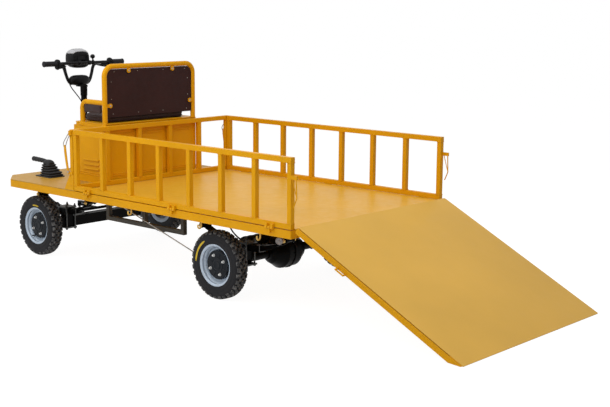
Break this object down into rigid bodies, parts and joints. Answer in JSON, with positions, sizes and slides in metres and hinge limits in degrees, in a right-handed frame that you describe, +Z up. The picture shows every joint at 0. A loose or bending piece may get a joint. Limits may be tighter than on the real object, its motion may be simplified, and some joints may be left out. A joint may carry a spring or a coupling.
{
  "type": "electric platform truck",
  "caption": "Low electric platform truck with a fenced flat load bed, fold-down sides, a drop-down loading ramp, a bench seat and handlebar steering.",
  "frame": {"origin": "on the floor, under the middle of the whole object", "axes": "+X forward from the ramp to the handlebar, +Y to the left, +Z up"},
  "size_m": [4.1196, 1.52, 1.465],
  "materials": {
    "yellow_paint": "gloss",
    "seat_cover": "satin",
    "seat_board": "satin",
    "black_paint": "satin",
    "battery_case": "matte",
    "grey_paint": "satin",
    "black_rubber": "matte",
    "black_plastic": "matte",
    "bar_steel": "gloss",
    "latch_steel": "satin",
    "tyre": "matte",
    "rim_steel": "satin"
  },
  "bodies": {
    "chassis": {"bed_channels": "yellow_paint", "end_beams": "yellow_paint", "spring_rails": "yellow_paint", "cross_tubes": "yellow_paint", "bed_plate": "yellow_paint", "front_deck": "yellow_paint", "front_posts_bars": "yellow_paint", "front_rails": "yellow_paint", "seat_box": "yellow_paint", "battery_pack": "battery_case", "seat_cushion": "seat_cover", "seat_hoop": "yellow_paint", "back_board": "seat_board", "back_pad": "seat_cover", "arm_pads": "seat_cover", "parking_brake": "black_rubber", "column_tower": "black_paint", "front_axle": "black_paint", "rear_axle": "black_paint", "leaf_springs": "black_paint", "spring_hangers": "black_paint", "spring_clamps": "black_paint", "hanging_frames": "grey_paint", "brake_cables": "black_paint", "rope_hooks": "yellow_paint", "fence_pins": "yellow_paint", "ramp_pins": "yellow_paint", "corner_latches": "latch_steel"},
    "steering": {"steer_column": "black_paint", "handlebar": "bar_steel", "grips": "black_rubber", "hand_controls": "black_plastic", "headlamp": "black_plastic", "bar_pod": "black_plastic"},
    "knuckle_left": {"knuckle_left": "black_paint"},
    "knuckle_right": {"knuckle_right": "black_paint"},
    "tie_rod": {"tie_rod": "black_paint"},
    "wheel_front_left": {"tyre_fl": "tyre", "rim_fl": "rim_steel"},
    "wheel_front_right": {"tyre_fr": "tyre", "rim_fr": "rim_steel"},
    "wheel_rear_left": {"tyre_rl": "tyre", "rim_rl": "rim_steel"},
    "wheel_rear_right": {"tyre_rr": "tyre", "rim_rr": "rim_steel"},
    "fence_left": {"fence_left_posts": "yellow_paint", "fence_left_rails": "yellow_paint"},
    "fence_right": {"fence_right_posts": "yellow_paint", "fence_right_rails": "yellow_paint"},
    "ramp": {"ramp_edges": "yellow_paint", "ramp_cross": "yellow_paint", "ramp_plate": "yellow_paint"}
  },
  "joints": [
    {"name": "steer", "type": "hinge", "parent": "chassis", "child": "steering", "pos_m": [1.93982, 0, 1.361], "axis": [0, 0, 1], "range_deg": [-35, 35]},
    {"name": "knuckle_left_turn", "type": "hinge", "parent": "chassis", "child": "knuckle_left", "pos_m": [1.71282, 0.49, 0.217], "axis": [0, 0, 1], "range_deg": [-35, 35]},
    {"name": "knuckle_right_turn", "type": "hinge", "parent": "chassis", "child": "knuckle_right", "pos_m": [1.71282, -0.49, 0.217], "axis": [0, 0, 1], "range_deg": [-35, 35]},
    {"name": "tie_rod_pivot", "type": "hinge", "parent": "knuckle_left", "child": "tie_rod", "pos_m": [1.80282, 0.49, 0.26], "axis": [0, 0, 1], "range_deg": [-35, 35]},
    {"name": "wheel_front_left_spin", "type": "hinge", "parent": "knuckle_left", "child": "wheel_front_left", "pos_m": [1.71282, 0.59, 0.217], "axis": [0, 1, 0], "continuous": true},
    {"name": "wheel_front_right_spin", "type": "hinge", "parent": "knuckle_right", "child": "wheel_front_right", "pos_m": [1.71282, -0.59, 0.217], "axis": [0, 1, 0], "continuous": true},
    {"name": "wheel_rear_left_spin", "type": "hinge", "parent": "chassis", "child": "wheel_rear_left", "pos_m": [-0.15018, 0.59, 0.217], "axis": [0, 1, 0], "continuous": true},
    {"name": "wheel_rear_right_spin", "type": "hinge", "parent": "chassis", "child": "wheel_rear_right", "pos_m": [-0.15018, -0.59, 0.217], "axis": [0, 1, 0], "continuous": true},
    {"name": "fence_left_fold", "type": "hinge", "parent": "chassis", "child": "fence_left", "pos_m": [0.11482, 0.751, 0.553], "axis": [-1, 0, 0], "range_deg": [0, 178]},
    {"name": "fence_right_fold", "type": "hinge", "parent": "chassis", "child": "fence_right", "pos_m": [0.11482, -0.751, 0.553], "axis": [1, 0, 0], "range_deg": [0, 178]},
    {"name": "ramp_lift", "type": "hinge", "parent": "chassis", "child": "ramp", "pos_m": [-0.92018, 0, 0.5515], "axis": [0, 1, 0], "range_deg": [0, 116.46]}
  ],
  "couplings": [
    {"joint": "knuckle_left_turn", "follows": "steer", "ratio": 1},
    {"joint": "knuckle_right_turn", "follows": "steer", "ratio": 1},
    {"joint": "tie_rod_pivot", "follows": "steer", "ratio": -1}
  ]
}
